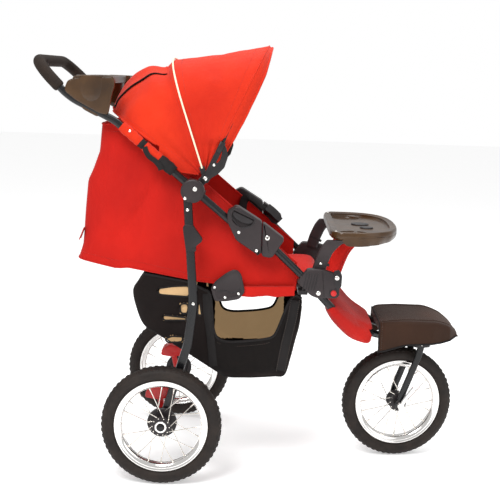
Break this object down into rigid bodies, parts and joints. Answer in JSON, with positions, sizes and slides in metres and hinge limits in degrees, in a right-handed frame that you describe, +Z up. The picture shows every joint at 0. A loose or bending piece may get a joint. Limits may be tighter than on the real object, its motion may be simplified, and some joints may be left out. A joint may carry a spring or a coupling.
{
  "type": "travel system pram",
  "caption": "folding pushchair with spoked wheels, reclining cloth seat, tipping canopy, parent tray, swinging child tray, swivelling front fork and cloth basket",
  "frame": {"origin": "middle of the footprint's box, on the floor under the pushchair", "axes": "+X forward, toward the front wheel; +Y to the child's left; +Z up"},
  "size_m": [1.1164, 0.61, 1.0945],
  "materials": {
    "black_fabric": "woven nylon, black",
    "black_metal": "satin black paint",
    "black_plastic": "fine-grained black",
    "brown_plastic": "semi-gloss very dark brown",
    "chrome": "polished",
    "foam": "soft foam",
    "grey_plastic": "fine-grained dark grey",
    "piping": "cream",
    "red_fabric": "woven nylon, orange red",
    "red_plastic": "semi-gloss red",
    "tyre_rubber": "matte black rubber"
  },
  "bodies": {
    "rear_frame": {"rear_leg_left": "black_metal", "rear_leg_right": "black_metal", "leg_knuckle_left": "grey_plastic", "leg_knuckle_right": "grey_plastic", "rear_axle": "black_metal"},
    "left_brake": {"brake_pedal_left": "red_plastic"},
    "right_brake": {"brake_pedal_right": "red_plastic"},
    "left_wheel": {"rear_wheel_left_tyre": "tyre_rubber", "rear_wheel_left_rim": "chrome", "rear_wheel_left_hub_and_spokes": "chrome"},
    "right_wheel": {"rear_wheel_right_tyre": "tyre_rubber", "rear_wheel_right_rim": "chrome", "rear_wheel_right_hub_and_spokes": "chrome"},
    "handle_frame": {"handle_tube": "black_metal", "handle_grip": "foam", "hub_clamp_left": "grey_plastic", "hub_clamp_right": "grey_plastic", "fold_housing_rear_left": "grey_plastic", "fold_housing_rear_right": "grey_plastic", "parent_tray": "brown_plastic", "seat_tub": "red_fabric", "canopy_rear": "red_fabric", "wrist_strap": "red_fabric"},
    "left_fold_lever": {"fold_lever_left": "black_plastic"},
    "right_fold_lever": {"fold_lever_right": "black_plastic"},
    "canopy_front_hoop": {"canopy_front_bow": "black_plastic", "canopy_front": "red_fabric"},
    "canopy_middle_hoop": {"canopy_middle_bow": "piping"},
    "front_frame": {"front_tube_left": "black_metal", "front_tube_right": "black_metal", "fold_housing_front_left": "grey_plastic", "fold_housing_front_right": "grey_plastic", "tray_post_left": "black_plastic", "tray_post_right": "black_plastic", "lower_bracket_left": "grey_plastic", "lower_bracket_right": "grey_plastic", "caster_head": "black_metal", "footrest": "black_plastic", "leg_rest_cover": "red_fabric"},
    "left_release": {"release_button_left": "red_plastic"},
    "right_release": {"release_button_right": "red_plastic"},
    "tray": {"child_tray": "brown_plastic"},
    "fork": {"caster_fork": "grey_plastic", "front_axle": "chrome"},
    "lock": {"swivel_lock": "red_plastic"},
    "quick_release": {"quick_release_lever": "chrome"},
    "front_wheel": {"front_wheel_tyre": "tyre_rubber", "front_wheel_rim": "chrome", "front_wheel_hub_and_spokes": "chrome"},
    "seat_frame": {"seat_rail_left": "black_metal", "seat_rail_right": "black_metal", "seat_side_plate_left": "grey_plastic", "seat_side_plate_right": "grey_plastic", "seat_board": "black_plastic", "seat_cushion": "red_fabric", "basket": "black_fabric"},
    "seat_back": {"seat_back_board": "black_plastic", "seat_back_pad": "red_fabric", "harness": "black_fabric"}
  },
  "joints": [
    {"name": "left_wheel_spin", "type": "hinge", "parent": "rear_frame", "child": "left_wheel", "pos_m": [-0.21298, 0.276, 0.15177], "axis": [0, 1, 0], "continuous": true},
    {"name": "right_wheel_spin", "type": "hinge", "parent": "rear_frame", "child": "right_wheel", "pos_m": [-0.21298, -0.276, 0.15177], "axis": [0, 1, 0], "continuous": true},
    {"name": "left_brake_tip", "type": "hinge", "parent": "rear_frame", "child": "left_brake", "pos_m": [-0.21298, 0.205, 0.15177], "axis": [0, -1, 0], "range_deg": [0, 20]},
    {"name": "right_brake_tip", "type": "hinge", "parent": "rear_frame", "child": "right_brake", "pos_m": [-0.21298, -0.205, 0.15177], "axis": [0, -1, 0], "range_deg": [0, 20]},
    {"name": "rear_leg_hinge", "type": "hinge", "parent": "rear_frame", "child": "handle_frame", "pos_m": [-0.14268, 0, 0.744], "axis": [0, 1, 0], "range_deg": [-68.64, 0]},
    {"name": "frame_fold", "type": "hinge", "parent": "handle_frame", "child": "front_frame", "pos_m": [0.01192, 0, 0.5936], "axis": [0, 1, 0], "range_deg": [0, 110], "deforming": ["seat_tub", "basket"]},
    {"name": "seat_link_hinge", "type": "hinge", "parent": "rear_frame", "child": "seat_frame", "pos_m": [-0.14118, 0, 0.4572], "axis": [0, 1, 0], "range_deg": [-32.45, 0]},
    {"name": "left_fold_lever_lift", "type": "hinge", "parent": "handle_frame", "child": "left_fold_lever", "pos_m": [-0.02298, 0.23075, 0.67825], "axis": [0.9119, 0, -0.4104], "range_deg": [0, 30], "stiffness_Nm_per_rad": 0.4, "springref_deg": -8.59},
    {"name": "right_fold_lever_lift", "type": "hinge", "parent": "handle_frame", "child": "right_fold_lever", "pos_m": [-0.02298, -0.23075, 0.67825], "axis": [-0.9119, 0, 0.4104], "range_deg": [0, 30], "stiffness_Nm_per_rad": 0.4, "springref_deg": -8.59},
    {"name": "canopy_front_tip", "type": "hinge", "parent": "handle_frame", "child": "canopy_front_hoop", "pos_m": [-0.12018, 0, 0.7673], "axis": [0, 1, 0], "range_deg": [-46, 0], "deforming": ["canopy_front", "canopy_rear"]},
    {"name": "canopy_middle_tip", "type": "hinge", "parent": "handle_frame", "child": "canopy_middle_hoop", "pos_m": [-0.12018, 0, 0.7673], "axis": [0, 1, 0], "range_deg": [-13.44, 0]},
    {"name": "left_release_press", "type": "slide", "parent": "front_frame", "child": "left_release", "axis": [0, -1, 0], "range_m": [0, 0.003], "stiffness_N_per_m": 250, "springref_m": -0.002},
    {"name": "right_release_press", "type": "slide", "parent": "front_frame", "child": "right_release", "axis": [0, 1, 0], "range_m": [0, 0.003], "stiffness_N_per_m": 250, "springref_m": -0.002},
    {"name": "child_tray_swing", "type": "hinge", "parent": "front_frame", "child": "tray", "pos_m": [0.21702, 0.1971, 0.621], "axis": [0, 0, 1], "range_deg": [0, 100]},
    {"name": "front_swivel", "type": "hinge", "parent": "front_frame", "child": "fork", "pos_m": [0.46702, 0, 0.15177], "axis": [0, 0, 1], "continuous": true},
    {"name": "swivel_lock_slide", "type": "slide", "parent": "front_frame", "child": "lock", "axis": [0, 0, 1], "range_m": [0, 0.008]},
    {"name": "quick_release_turn", "type": "hinge", "parent": "fork", "child": "quick_release", "pos_m": [0.40952, -0.05856, 0.14177], "axis": [0.8859, 0.1229, -0.4474], "range_deg": [0, 75]},
    {"name": "front_wheel_spin", "type": "hinge", "parent": "fork", "child": "front_wheel", "pos_m": [0.4066, -0.00838, 0.15177], "axis": [-0.1374, 0.9905, 0], "continuous": true},
    {"name": "seat_recline", "type": "hinge", "parent": "seat_frame", "child": "seat_back", "pos_m": [-0.04098, 0, 0.525], "axis": [0, 1, 0], "range_deg": [0, 65]}
  ],
  "couplings": [
    {"joint": "rear_leg_hinge", "follows": "frame_fold", "ratio": -0.624},
    {"joint": "seat_link_hinge", "follows": "frame_fold", "ratio": -0.295},
    {"joint": "canopy_middle_tip", "follows": "canopy_front_tip", "ratio": 0.28}
  ]
}
